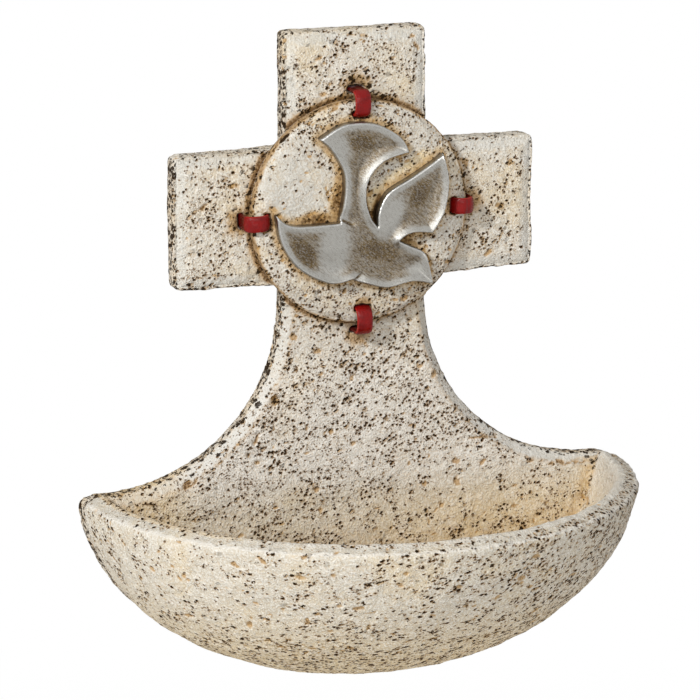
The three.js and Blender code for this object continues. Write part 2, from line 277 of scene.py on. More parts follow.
def even_copy(meshes, voxel, wear_steps):
    """One closed mesh round the given meshes, with even faces and softened edges."""
    joined = bpy.data.meshes.new("joined")
    work = bmesh.new()
    for mesh in meshes:
        work.from_mesh(mesh)
    work.to_mesh(joined)
    work.free()
    holder = add_object("holder", joined)
    remesh = holder.modifiers.new("even", "REMESH")
    remesh.mode = "VOXEL"
    remesh.voxel_size = voxel
    soften = holder.modifiers.new("worn", "SMOOTH")
    soften.factor = 0.5
    soften.iterations = wear_steps
    evaluated = holder.evaluated_get(bpy.context.evaluated_depsgraph_get())
    made = bpy.data.meshes.new_from_object(evaluated)
    bpy.data.objects.remove(holder)
    bpy.data.meshes.remove(joined)
    return outer_shell(made)


def outer_shell(mesh):
    """Drops every shell but the largest, such as the walls of a closed dowel bore."""
    work = bmesh.new()
    work.from_mesh(mesh)
    shells = []
    seen = set()
    for start in work.verts:
        if start in seen:
            continue
        shell, queue = [], [start]
        seen.add(start)
        while queue:
            vert = queue.pop()
            shell.append(vert)
            for edge in vert.link_edges:
                other = edge.other_vert(vert)
                if other not in seen:
                    seen.add(other)
                    queue.append(other)
        shells.append(shell)
    shells.sort(key=len)
    for shell in shells[:-1]:
        bmesh.ops.delete(work, geom=shell, context="VERTS")
    work.to_mesh(mesh)
    work.free()
    return mesh


def cut_at(mesh, depth, keep_front, name):
    """The part of a closed mesh in front of or behind a plane of that depth, closed again."""
    work = bmesh.new()
    work.from_mesh(mesh)
    found = bmesh.ops.bisect_plane(
        work,
        geom=work.verts[:] + work.edges[:] + work.faces[:],
        plane_co=(0, depth * MM, 0),
        plane_no=(0, 1, 0),
        clear_outer=keep_front,
        clear_inner=not keep_front,
    )
    loop = [item for item in found["geom_cut"] if isinstance(item, bmesh.types.BMEdge)]
    caps = bmesh.ops.triangle_fill(work, edges=loop, use_beauty=True)
    bmesh.ops.recalc_face_normals(work, faces=work.faces[:])
    for edge in loop:
        edge.smooth = False
    if not caps["geom"]:
        raise RuntimeError("the casting could not be closed where it was cut")
    made = bpy.data.meshes.new(name)
    work.to_mesh(made)
    work.free()
    return made


def finish_piece(name, mesh, material, slot, *nodes):
    """Links a finished mesh as a piece that stands for these nodes."""
    mesh.name = name
    if not any(edge.use_edge_sharp for edge in mesh.edges):
        mesh.shade_smooth()
    mesh.materials.clear()
    mesh.materials.append(material)
    piece = add_object(name, mesh)
    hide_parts(*nodes)
    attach(piece, "root")


def sink_pits(points, normals, weights, count, sizes, flatness, seed):
    """Seeded pits, longer one way than the other, as depth, darkness and a painted shadow at the upper end.
    """
    tree = kdtree.KDTree(len(points))
    for i, point in enumerate(points):
        tree.insert(point, i)
    tree.balance()
    rng = np.random.default_rng(seed)
    small, large = sizes
    depth = np.zeros(len(points))
    dark = np.zeros(len(points))
    hole = np.zeros(len(points))
    for centre in rng.choice(len(points), count, p=weights / weights.sum()):
        radius = small + (large - small) * rng.random() ** 3.5
        stretch = 1 + 1.4 * rng.random()
        level = rng.normal(0, 1, 3) * (1, 1, flatness)
        axis = Vector(np.cross(normals[centre], np.cross(level, normals[centre])))
        axis.normalize()
        force = 0.6 + 0.4 * rng.random()
        middle = Vector(points[centre] + rng.normal(0, 0.12, 3))
        for place, i, away in tree.find_range(middle, radius * stretch):
            along = (place - middle).dot(axis)
            across = max(away * away - along * along, 0)
            ragged = 1 + 0.45 * noise.noise(place * 1.1)
            reach = ragged * math.sqrt(across + (along / stretch) ** 2) / radius
            if reach < 1:
                hollow = force * (1 - reach * reach)
                depth[i] = max(depth[i], hollow * radius * 0.9)
                dark[i] = max(dark[i], hollow)
                # The painted shadow lies at the upper left end of each pit, where its wall would be in
                # shade
                upper = (place - middle - Vector((-0.2, 0, 0.5)) * radius).length / radius
                hole[i] = max(hole[i], 1 - upper * 1.3)
    return depth, dark, hole


# Node work


# The Mix node's sockets when it mixes colours
MIX_FACTOR, MIX_FIRST, MIX_SECOND, MIX_RESULT = 0, 6, 7, 2
# The Vector Math node's scale socket
VECTOR_SCALE = 3


def plug(tree, socket, value):
    """Links another node's output to a socket, or sets the socket's own value."""
    if isinstance(value, bpy.types.NodeSocket):
        tree.links.new(value, socket)
    else:
        socket.default_value = value


def node(tree, kind, inputs=None, **settings):
    """A shader node with its settings and inputs, which are values or other nodes' outputs."""
    made = tree.nodes.new(kind)
    for key, value in settings.items():
        setattr(made, key, value)
    for key, value in (inputs or {}).items():
        plug(tree, made.inputs[key], value)
    return made


def calc(tree, operation, first, second=0.0, clamp=False):
    made = node(tree, "ShaderNodeMath", {0: first, 1: second}, operation=operation, use_clamp=clamp)
    return made.outputs[0]


def times(tree, first, second):
    return calc(tree, "MULTIPLY", first, second)


def blend(tree, factor, first, second):
    """Mixes two colours; each is a socket or a linear colour."""
    pair = [c if isinstance(c, bpy.types.NodeSocket) else (*c, 1) for c in (first, second)]
    inputs = {MIX_FACTOR: factor, MIX_FIRST: pair[0], MIX_SECOND: pair[1]}
    return node(tree, "ShaderNodeMix", inputs, data_type="RGBA").outputs[MIX_RESULT]


def coats(tree, tone, layers):
    """Lays colours over a tone in order; each has a cover from 0 to 1 and a strength."""
    for cover, strength, paint in layers:
        tone = blend(tree, times(tree, cover, strength), tone, paint)
    return tone


def remap(tree, value, low, high, to_low=0.0, to_high=1.0):
    inputs = {"Value": value, "From Min": low, "From Max": high, "To Min": to_low, "To Max": to_high}
    return node(tree, "ShaderNodeMapRange", inputs, interpolation_type="SMOOTHSTEP").outputs[0]


def bump(tree, height, strength, distance):
    """A normal from a height, with its distance in millimetres."""
    inputs = {"Height": height, "Strength": strength, "Distance": distance * MM}
    return node(tree, "ShaderNodeBump", inputs).outputs[0]


def mask(tree, name):
    return node(tree, "ShaderNodeAttribute", attribute_name=name).outputs["Fac"]


def place_mm(tree, stretch=(1, 1, 1), turn=0.0, shift=(0, 0, 0)):
    """Object coordinates in millimetres, turned about Y, then shifted and stretched."""
    coords = node(tree, "ShaderNodeTexCoord").outputs["Object"]
    turned = node(tree, "ShaderNodeMapping", {"Vector": coords, "Rotation": (0, turn, 0)}).outputs[0]
    scale = [s / MM for s in stretch]
    start = [-d * s for d, s in zip(shift, stretch)]
    inputs = {"Vector": turned, "Scale": scale, "Location": start}
    return node(tree, "ShaderNodeMapping", inputs).outputs[0]


def new_group(name, inputs, outputs):
    """An empty shader group with float sockets, except an input named Place, which is a vector."""
    tree = bpy.data.node_groups.new(name, "ShaderNodeTree")
    for label in inputs:
        kind = "NodeSocketVector" if label == "Place" else "NodeSocketFloat"
        tree.interface.new_socket(label, in_out="INPUT", socket_type=kind)
    for label in outputs:
        tree.interface.new_socket(label, in_out="OUTPUT", socket_type="NodeSocketFloat")
    return tree, node(tree, "NodeGroupInput").outputs, node(tree, "NodeGroupOutput").inputs


def grain_group():
    """Noise of a given feature size, with its contrast raised."""
    tree, given, out = new_group("Grain", ["Place", "Size", "Roughness", "Contrast"], ["Value"])
    scale = calc(tree, "DIVIDE", 1.0, given["Size"])
    inputs = {"Vector": given["Place"], "Scale": scale, "Detail": 4.0, "Roughness": given["Roughness"]}
    raw = node(tree, "ShaderNodeTexNoise", inputs).outputs[0]
    spread = times(tree, calc(tree, "SUBTRACT", raw, 0.5), given["Contrast"])
    plug(tree, out["Value"], calc(tree, "ADD", spread, 0.5, clamp=True))
    return tree


def pore_group():
    """Scattered ragged holes: one to a cell, of random size, missing from some cells."""
    tree, given, out = new_group("Pores", ["Place", "Cell", "Amount", "Radius"], ["Core", "Halo"])
    place, cell = given["Place"], given["Cell"]

    def vector(operation, inputs):
        return node(tree, "ShaderNodeVectorMath", inputs, operation=operation).outputs[0]

    inputs = {"Vector": place, "Scale": calc(tree, "DIVIDE", 2.6, cell), "Detail": 3.0}
    warp = node(tree, "ShaderNodeTexNoise", inputs).outputs["Color"]
    centred = vector("SUBTRACT", {0: warp, 1: (0.5, 0.5, 0.5)})
    push = vector("SCALE", {0: centred, VECTOR_SCALE: times(tree, cell, 1.1)})
    inputs = {"Vector": vector("ADD", {0: place, 1: push}), "Scale": calc(tree, "DIVIDE", 1.0, cell)}
    cells = node(tree, "ShaderNodeTexVoronoi", inputs).outputs
    luck = node(tree, "ShaderNodeSeparateColor", {0: cells["Color"]}).outputs
    here = remap(tree, calc(tree, "SUBTRACT", given["Amount"], luck[0]), -0.04, 0.04)
    spread = times(tree, calc(tree, "POWER", luck[1], 4.0), 1.1)
    size = times(tree, given["Radius"], calc(tree, "ADD", spread, 0.5))
    reach = calc(tree, "DIVIDE", cells["Distance"], size)
    for label, far, near in (("Core", 1.0, 0.7), ("Halo", 1.9, 0.8)):
        plug(tree, out[label], times(tree, remap(tree, reach, far, near), here))
    return tree


def edge_group(name, attribute):
    """A painted mask broken up by noise, so that wear and wash end raggedly."""
    tree, given, out = new_group(name, ["Place", "Size", "Break", "Low", "High"], ["Mask"])
    scale = calc(tree, "DIVIDE", 1.0, given["Size"])
    inputs = {"Vector": given["Place"], "Scale": scale, "Detail": 5.0}
    raw = node(tree, "ShaderNodeTexNoise", inputs).outputs[0]
    ragged = times(tree, calc(tree, "SUBTRACT", raw, 0.5), given["Break"])
    level = calc(tree, "ADD", mask(tree, attribute), ragged)
    plug(tree, out["Mask"], remap(tree, level, given["Low"], given["High"]))
    return tree


GROUPS = {}


def group(name):
    """Each shared group is built once."""
    makers = {
        "grain": grain_group,
        "pores": pore_group,
        "wear": lambda: edge_group("Edge wear", "wear"),
        "wash": lambda: edge_group("Brown wash", "wash"),
    }
    if name not in GROUPS:
        GROUPS[name] = makers[name]()
    return GROUPS[name]


def use(tree, name, **inputs):
    """Places a shared group and gives its outputs."""
    return node(tree, "ShaderNodeGroup", inputs, node_tree=group(name)).outputs


def grain(tree, place, size, roughness, contrast):
    return use(tree, "grain", Place=place, Size=size, Roughness=roughness, Contrast=contrast)[0]


def pores(tree, place, cell, amount, radius):
    return use(tree, "pores", Place=place, Cell=cell, Amount=amount, Radius=radius)


def ragged(tree, name, place, size, jitter, low, high):
    """The wear or the wash mask, with its edge pushed about by noise of a given size."""
    return use(tree, name, Place=place, Size=size, Break=jitter, Low=low, High=high)[0]


def empty_tree(owner):
    """The cleared node tree of a material or a world."""
    owner.use_nodes = True
    owner.node_tree.nodes.clear()
    return owner.node_tree


def new_material(name):
    """A material with one shader, as the material, its node tree and the shader's inputs."""
    material = bpy.data.materials.new(name)
    tree = empty_tree(material)
    shader = node(tree, "ShaderNodeBsdfPrincipled")
    node(tree, "ShaderNodeOutputMaterial", {"Surface": shader.outputs[0]})
    material.diffuse_color = (0.6, 0.6, 0.6, 1)
    return material, tree, shader.inputs


def feed(tree, sockets, **inputs):
    """Feeds a shader's sockets; words in socket names are joined with underscores."""
    for key, value in inputs.items():
        plug(tree, sockets[key.replace("_", " ")], value)


# Finishes


# Stretch that draws the pores of the cross and the medallion out, and of the basin
CROSS_STRETCH = (0.85, 1.0, 1.2)
BASIN_STRETCH = (0.78, 0.9, 1.2)
# How far a pore's painted shadow, a dent's painted shadow and a pore's painted highlight on its lower lip
# lie from its middle, in millimetres
PORE_SHADOW_SHIFT = (-0.06, 0, 0.2)
DENT_SHADOW_SHIFT = (-0.12, 0, 0.36)
PORE_HIGHLIGHT_SHIFT = (0.14, 0, -0.2)
# Cell sizes of the specks, the pores, the rotten edges and the dents, in millimetres
SPECK_CELL, PORE_CELL, ROT_CELL, DENT_CELL = 0.52, 0.85, 1.3, 2.1


def stone_material(name, base, stone, pore_amount, stretch, turn, cool=0.6, chalk=1.0, wide=1.0, gold=0.45):
    """Pitted cream cast stone: brown hollows, each with a painted shadow at its upper end and a painted
    highlight on its lower lip.
    """
    material, tree, shader = new_material(name)
    place = place_mm(tree)
    drawn = place_mm(tree, stretch, turn)
    raised, higher, lowered = (
        place_mm(tree, stretch, turn, shift) for shift in (PORE_SHADOW_SHIFT, DENT_SHADOW_SHIFT, PORE_HIGHLIGHT_SHIFT)
    )
    patches = grain(tree, place, size=15.0, roughness=0.55, contrast=2.4)
    blotches = grain(tree, place, size=2.6, roughness=0.65, contrast=2.6)
    sand = grain(tree, place, size=0.55, roughness=0.5, contrast=4.0)
    crowding = grain(tree, place, size=5.0, roughness=0.6, contrast=2.6)
    bare = mask(tree, "bare")
    sparing = remap(tree, bare, 0, 1, 1, 0.25)
    crowd = times(tree, remap(tree, crowding, 0.25, 0.8, 0.15, 1.3), sparing)
    denser_in_wash_and_shade = remap(tree, mask(tree, "wash"), 0.0, 0.6, pore_amount, pore_amount * 2.0)
    amount = calc(tree, "ADD", times(tree, crowd, denser_in_wash_and_shade), mask(tree, "porous"))
    fine = times(tree, amount, 0.6)
    some = times(tree, amount, 0.45 * wide)
    specks = pores(tree, drawn, SPECK_CELL, fine, radius=0.42)
    hollows = pores(tree, drawn, PORE_CELL, amount, radius=0.42 * wide)
    # Shifted up, the holes and the dent marks are painted shadow in the upper end of each pore and dent;
    # shifted down, the lips are a painted highlight on each pore's lower lip
    holes = pores(tree, raised, PORE_CELL, amount, radius=0.36 * wide)
    pore_highlights = pores(tree, lowered, PORE_CELL, amount, radius=0.46 * wide)
    dents = pores(tree, drawn, DENT_CELL, some, radius=0.38)
    dent_shadows = pores(tree, higher, DENT_CELL, some, radius=0.26)
    rotten = pores(tree, drawn, ROT_CELL, mask(tree, "coarse"), radius=0.78)
    # core joins those painted shadows with the rotten pores
    core = calc(tree, "MAXIMUM", holes["Core"], calc(tree, "MAXIMUM", dent_shadows["Core"], rotten["Core"]))
    sunk = calc(tree, "MAXIMUM", hollows["Core"], dents["Core"])
    # rubbed is edge wear, and on the basin's lip also a painted highlight
    rubbed = ragged(tree, "wear", place, size=2.0, jitter=0.7, low=0.3, high=0.9)
    thin = ragged(tree, "wash", place, size=1.1, jitter=0.9, low=0.15, high=0.8)
    thick = ragged(tree, "wash", place, size=0.8, jitter=1.1, low=0.6, high=1.1)
    # Inside the basin the warm mask is painted warm light, and clear paints the foot of the cross and the
    # inside of the basin paler, as painted light
    warmth = calc(tree, "MAXIMUM", remap(tree, patches, 0.4, 0.95, 0.0, 0.4), mask(tree, "warm"))
    clear = times(tree, mask(tree, "clear"), remap(tree, warmth, 0.2, 0.8, 1.0, 0.4))
    tone = coats(tree, base, [
        (warmth, 1, stone.warm),
        (clear, 1, stone.pale),
        (remap(tree, blotches, 0.4, 1.0), 0.35 * chalk, stone.pale),
        (remap(tree, sand, 0.5, 0.0), 0.28, stone.tan),
        (remap(tree, sand, 0.55, 1.0), 0.45 * chalk, stone.pale),
        (bare, cool, stone.cool),
        (hollows["Halo"], gold, stone.tan),
        (pore_highlights["Core"], 0.3, stone.pale),
        (dents["Core"], 0.6, stone.tan),
        (specks["Core"], 0.9, stone.umber),
        (hollows["Core"], 0.8, stone.brown),
        (remap(tree, mask(tree, "pit"), 0.1, 0.5), 0.75, stone.tan),
        (thin, 0.75, stone.tan),
        (rubbed, 0.5, stone.pale),
        (thick, 0.85, stone.umber),
        # Painted shadow in the upper end of each sunk pit
        (remap(tree, mask(tree, "hole"), 0.3, 0.6), 0.9, stone.pore),
        (core, 0.97, stone.pore),
    ])
    relief = calc(tree, "ADD", times(tree, sand, 0.4), times(tree, blotches, 0.62))
    for sink, depth in ((sunk, 0.7), (core, 0.5)):
        relief = calc(tree, "SUBTRACT", relief, times(tree, sink, depth))
    normal = bump(tree, relief, strength=1.0, distance=0.42 * chalk)
    dull = remap(tree, rubbed, 0.0, 1.0, 0.95, 0.75)
    feed(tree, shader, Base_Color=tone, Roughness=dull, Normal=normal, Specular_IOR_Level=0.05)
    return material


def pewter_material(dove):
    """Satin pewter, brushed, with brown patina in the hollows and bright rims."""
    material, tree, shader = new_material("cast_pewter")
    brushed = place_mm(tree, stretch=(0.6, 1.0, 1.9), turn=-0.7)
    speckle = grain(tree, brushed, size=0.34, roughness=0.6, contrast=3.4)
    strokes = grain(tree, brushed, size=0.7, roughness=0.75, contrast=3.8)
    hollow = ragged(tree, "wash", brushed, size=0.8, jitter=0.6, low=0.0, high=1.0)
    rubbed = ragged(tree, "wear", place_mm(tree), size=2.5, jitter=0.3, low=0.2, high=0.9)
    grip = remap(tree, hollow, 0.0, 0.7, 0.25, 1.0)
    tone = coats(tree, dove.metal, [
        (remap(tree, hollow, 0.0, 0.75), 0.95, dove.patina),
        (remap(tree, hollow, 0.6, 1.0), 0.5, dove.soot),
        (times(tree, remap(tree, strokes, 0.6, 0.1), grip), 0.85, dove.soot),
        (times(tree, remap(tree, speckle, 0.5, 0.95), grip), 0.42, dove.bright),
        (rubbed, 0.6, dove.bright),
    ])
    coarse = calc(tree, "ADD", remap(tree, hollow, 0, 1, 0.26, 0.42), times(tree, speckle, 0.08))
    metallic = remap(tree, hollow, 0, 1, 1.0, 0.75)
    relief = calc(tree, "ADD", strokes, times(tree, speckle, 0.6))
    normal = bump(tree, relief, strength=0.25, distance=0.08)
    feed(tree, shader, Base_Color=tone, Roughness=coarse, Metallic=metallic, Normal=normal)
    return material


def enamel_material(strap):
    """Deep red enamel, a little uneven, thin along the rubbed edges."""
    material, tree, shader = new_material("red_enamel")
    place = place_mm(tree)
    clouds = grain(tree, place, size=2.4, roughness=0.6, contrast=2.0)
    skin = grain(tree, place, size=0.5, roughness=0.6, contrast=1.6)
    rubbed = ragged(tree, "wear", place, size=1.2, jitter=0.5, low=0.45, high=1.0)
    shaded = ragged(tree, "wash", place, size=1.0, jitter=0.4, low=0.2, high=0.9)
    tone = coats(tree, strap.red, [
        (remap(tree, clouds, 0.3, 0.9), 0.5, strap.deep),
        (rubbed, 0.5, strap.rubbed),
        (shaded, 0.85, strap.deep),
    ])
    coarse = remap(tree, skin, 0.0, 1.0, 0.12, 0.26)
    relief = calc(tree, "ADD", skin, times(tree, clouds, 1.5))
    normal = bump(tree, relief, strength=0.6, distance=0.15)
    feed(tree, shader, Base_Color=tone, Roughness=coarse, Normal=normal, Specular_IOR_Level=0.2)
    return material


def zinc_material(name, light, dark):
    """Plated steel with faint spangle and fine scratches."""
    material, tree, shader = new_material(name)
    spangle = grain(tree, place_mm(tree), size=2.6, roughness=0.7, contrast=2.4)
    lines = grain(tree, place_mm(tree, stretch=(0.3, 1, 5)), size=0.7, roughness=0.5, contrast=2.0)
    tone = blend(tree, spangle, light, dark)
    coarse = remap(tree, lines, 0.0, 1.0, 0.28, 0.46)
    normal = bump(tree, lines, strength=0.2, distance=0.05)
    feed(tree, shader, Base_Color=tone, Roughness=coarse, Normal=normal, Metallic=1.0)
    return material


# Stone casting


def inner_wall(z):
    """Radius of the basin's hollow at heights, in millimetres."""
    down = np.clip((BASIN_SPRING - z) / INNER_DEPTH, 0, 1)
    return INNER_RADIUS * (1 - down**BASIN_POWER) ** (1 / BASIN_POWER)


def arm_margin(x, z):
    """Distance in from the cross's straight edges, large away from its arms."""
    head = np.minimum(HEAD_TOP - z, HEAD_HALF - np.abs(x))
    side = np.minimum(ARM_REACH - np.abs(x), ARM_HALF - np.abs(z))
    away = np.full_like(x, 99.0)
    return np.where(z > ARM_HALF, head, np.where((np.abs(x) > HEAD_HALF) & (z > -22), side, away))


def strap_ends(x, z, inner):
    """Distance from the nearest strap's inner or outer end."""
    nearest = np.full_like(x, 99.0)
    for angle, outer in STRAPS.values():
        turn = math.radians(angle)
        reach = STRAP_INNER if inner else outer
        end_x = DISC_CENTRE[0] + reach * math.cos(turn)
        end_z = DISC_CENTRE[1] + reach * math.sin(turn)
        nearest = np.minimum(nearest, np.hypot(x - end_x, z - end_z))
    return nearest


# Gouges, scrapes and grooves on the front: start and end in X and Z, half width and depth, in millimetres
GOUGES = [
    ((16.0, 48.5), (18.3, 44.5), 0.7, 0.6),
    ((-3.2, 50.2), (3.4, 49.3), 0.7, 0.4),
    ((-41.7, 16.1), (-39.1, 15.1), 0.55, 0.6),
    ((-45.3, 3.4), (-44.3, 4.4), 1.0, 0.6),
    ((-46.2, 0.4), (-45.7, 1.4), 0.5, 0.4),
    ((-49.3, -0.7), (-48.9, -0.5), 0.6, 0.5),
    ((-47.6, -0.5), (-47.0, -0.1), 0.6, 0.5),
    ((-11.4, 43.2), (-10.6, 43.8), 0.8, 0.5),
    ((9.9, 42.2), (10.9, 42.6), 0.8, 0.5),
    ((34.1, -67.4), (42.6, -67.5), 0.7, 0.5),
    ((48.1, -75.4), (56.0, -75.8), 0.6, 0.5),
    ((58.5, -76.8), (69.0, -77.3), 0.8, 0.6),
    ((-23.4, -50.8), (-24.2, -52.4), 1.2, 0.6),
    ((-47.4, -73.0), (-50.0, -74.2), 1.2, 0.7),
    ((-27.6, -58.6), (-30.0, -63.5), 0.8, 0.6),
    ((1.0, -36.5), (2.4, -38.0), 0.7, 0.5),
]


class STOUP_OT_casting(bpy.types.Operator):
    """Casts the cross and the basin as one stone, then parts them at their cement joint"""

    bl_idname = "stoup.casting"
    bl_label = "Cross and basin"

    def execute(self, context):
        stone = context.scene.stoup.stone
        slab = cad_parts["cross_slab"].data
        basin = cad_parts["basin"].data.copy()
        basin.transform(Matrix.Translation((0, JOINT_OVERLAP * MM, 0)))
        mesh = even_copy([slab, basin], stone.voxel, stone.wear_steps)
        bpy.data.meshes.remove(basin)
        self.weather(mesh, stone)
        face = stone_material("cross_stone", stone.cream, stone, 0.76, CROSS_STRETCH, 0.6, chalk=0.9)
        bowl_face = stone_material(
            "basin_stone", stone.bowl, stone, 0.38, BASIN_STRETCH, 0.3, wide=1.5, gold=0.7
        )
        cross = cut_at(mesh, JOINT_PLANE, False, "stone_cross")
        bowl = cut_at(mesh, JOINT_PLANE, True, "stone_basin")
        bpy.data.meshes.remove(mesh)
        finish_piece("stone_cross", cross, face, "stone", "cross_slab")
        finish_piece("stone_basin", bowl, bowl_face, "stone", "basin")
        return {"FINISHED"}

    @staticmethod
    def weather(mesh, stone):
        """Roughens, gouges and pits the stone, and paints its masks."""
        points, normals = arrays(mesh)
        x, y, z = points.T
        edge = convexity(mesh, points, normals)
        front = smooth(-normals[:, 1], 0.3, 0.8)
        plate = (y > JOINT_PLANE).astype(float)
        back = smooth(normals[:, 1], 0.2, 0.7) * smooth(y, -6.5, -5.5)
        sunk = plate * smooth(y, -6.3, -5.3) * front
        calm = np.clip(1 - back - sunk, 0, 1)
        margin = arm_margin(x, z)
        flare = np.hypot(np.abs(x) - FLARE_CENTRE[0], z - FLARE_CENTRE[1]) - FLARE_RADIUS
        flare = np.where((z < -20) & (np.abs(x) < FLARE_CENTRE[0] + 3), flare, 99.0)
        band = plate * front * np.maximum(1 - smooth(margin, 2.6, 4.4), 1 - smooth(flare, 2.6, 3.6))
        wobble = 0.5 * mottle(points, 7, SEED + 6)
        slope = plate * front * np.clip(1 - (margin + wobble) / 4.4, 0, 1)
        hollow = np.hypot(x, y - SLAB_FACE)
        inside = (z < -70) & (hollow < inner_wall(z) + 2.5) & (z > FOOT_Z + 5)
        corner = np.abs(inner_wall(z) - np.abs(x)) + np.abs(y - SLAB_FACE)
        crease = np.where(inside, 1 - smooth(corner, 0.8, 3.0), 0)
        back_wall = inside & (np.abs(y - SLAB_FACE - 0.5) < 1.5)
        # Darker and warmer near the ends of the basin's back wall
        wall_ends = np.where(back_wall, 1 - smooth(inner_wall(z) - np.abs(x), 1.0, 8.0), 0)
        lip = (1 - smooth(np.abs(z - LIP_Z), 1.5, 3.5)) * (1 - plate)
        rough = 0.34 * mottle(points, 13, SEED) + 0.15 * mottle(points, 4, SEED + 1)
        rough += (0.14 + 0.3 * crease) * mottle(points, 1.7, SEED + 2, 3)
        rise = calm * rough - slope
        flat = np.stack([x, z], 1)
        wander = np.stack([mottle(points, 3, SEED + 3), mottle(points, 3, SEED + 7)], 1)
        broken = plate * front * smooth(mottle(points, 2.2, SEED + 9), -0.35, 0.05)
        cut = np.zeros(len(points))
        for start, end, half, deep in GOUGES:
            away = near_segment(flat + 0.8 * wander, start, end) + 0.4 * mottle(points, 1.2, SEED + 8)
            cut = np.maximum(cut, broken * deep * (1 - smooth(away, 0.2 * half, 1.3 * half)))
        side = plate * (1 - front) * (1 - back) * (1 - 0.75 * smooth(normals[:, 2], 0.4, 0.8) * (z > 10))
        crowd = 0.35 + smooth(mottle(points, 9, SEED + 4), -0.25, 0.55)
        weights = calm * crowd * (1 + 1.3 * side) * (1 - 0.85 * band) * (1 - 0.5 * lip)
        depth, dark, hole = sink_pits(points, normals, weights, stone.pits, (0.45, 1.15), 0.35, SEED)
        put_points(mesh, points + normals * (rise - cut - calm * depth)[:, None])
        ring = np.hypot(x - DISC_CENTRE[0], z - DISC_CENTRE[1]) - DISC_RADIUS
        # Round the medallion a broad brown wash, with a narrow dark band at the contact that is painted
        # shadow; round the straps' outer ends brown wash darkened as painted shade
        contact_dirt_and_shade = 0.45 * (1 - smooth(ring, 0, 5.5)) + 0.95 * (1 - smooth(ring, 0, 1.6))
        stain_and_shade = plate * front * np.maximum(contact_dirt_and_shade, 0.9 - smooth(strap_ends(x, z, False), 0.5, 8.0))
        groove = plate * front * 0.4 * (1 - smooth(np.abs(flare - FLARE_CHAMFER), 0.2, 1.2))
        # Painted shade: the deep and the left parts of the basin's inside are darkened where shade falls
        basin_shade = np.where(inside, np.maximum(0.36 * smooth(-z, 80, 100), 0.32 * smooth(-x, 42, 62)), 0)
        # crease darkens the creases inside the basin
        wash = np.maximum.reduce([stain_and_shade, groove, basin_shade, 0.4 * crease, 0.42 * wall_ends, 0.3 * side, 1.6 * cut])
        # On the basin's lip, the edge wear also carries a painted highlight where the lip faces up and out
        outward = (normals[:, 0] * x + normals[:, 1] * (y - SLAB_FACE)) / np.maximum(hollow, 1)
        lip_highlight = smooth(outward, 0.3, 0.5) * smooth(normals[:, 2], 0.3, 0.5)
        wear = np.maximum(smooth(edge, 0.02, 0.09) * (1 - sunk), 0.75 * lip * lip_highlight)
        left = smooth(-x, 5, 45) * (1 - smooth(-z, 95, 115))
        shell = (1 - plate) * (0.28 * smooth(x, 0, 55) + 0.22 * smooth(-z, 95, 120) - 0.12 * left)
        spread = 0.2 * plate * front * smooth(-z, 28, 45)
        # Painted light: the foot of the cross behind the basin is painted paler through clear, to lift it
        # out of the basin's shade
        foot = plate * front * smooth(-z, 28, 50) * (1 - smooth(-z, 70, 84))
        low = (1 - plate) * np.where(inside, 0, 0.75 * smooth(-z, 88, 122))
        # Painted warm light: glow warms and lightens the inside of the basin, most on the right wall that
        # faces the lamp and at the left end; low only warms the outside of the basin towards its foot
        left_end = 0.75 * smooth(-x, 38, 60)
        glow = np.maximum(smooth(-z, 71, 96) * (0.38 + 0.37 * smooth(x, -10, 45)), left_end)
        put_masks(
            mesh,
            pit=dark * calm,
            hole=hole * calm,
            wash=wash,
            wear=wear,
            bare=np.maximum(0.75 * band, 0.25 * lip),
            coarse=np.maximum(side, 0.25 * stain_and_shade),
            porous=np.where(inside, -0.35 * smooth(x, 5, 35), shell + spread),
            clear=0.65 * foot + np.where(inside, 0.3 * (1 - plate), 0),
            warm=np.maximum.reduce([np.where(inside, glow, 0), low, 0.8 * wall_ends]),
        )


# Hollows of the medallion that the dove half encloses, where more brown colour has gathered: middle and
# reach
HOLLOWS = [((-7.5, 5.0), 10.0), ((-13.0, 0.5), 9.0), ((12.0, -7.0), 6.0)]
# Channel between the tail and the right wing, rubbed smooth and golden: start, end and half width
CHANNEL = ((4.0, 4.0), (18.0, 14.0), 4.5)
# Painted shadow beside the neck, on the medallion: start, end and half width
NECK_SHADOW = ((0.6, 10.0), (4.6, -0.5), 4.0)
# Painted black shadow in the narrow end of that channel: start, end and half width
CREVICE_SHADOW = ((2.6, 5.0), (4.8, -1.0), 2.4)
# Middle and reach of the smooth part of the medallion, left of the dove
SMOOTH_PART = ((-20.5, 9.0), 10.5)


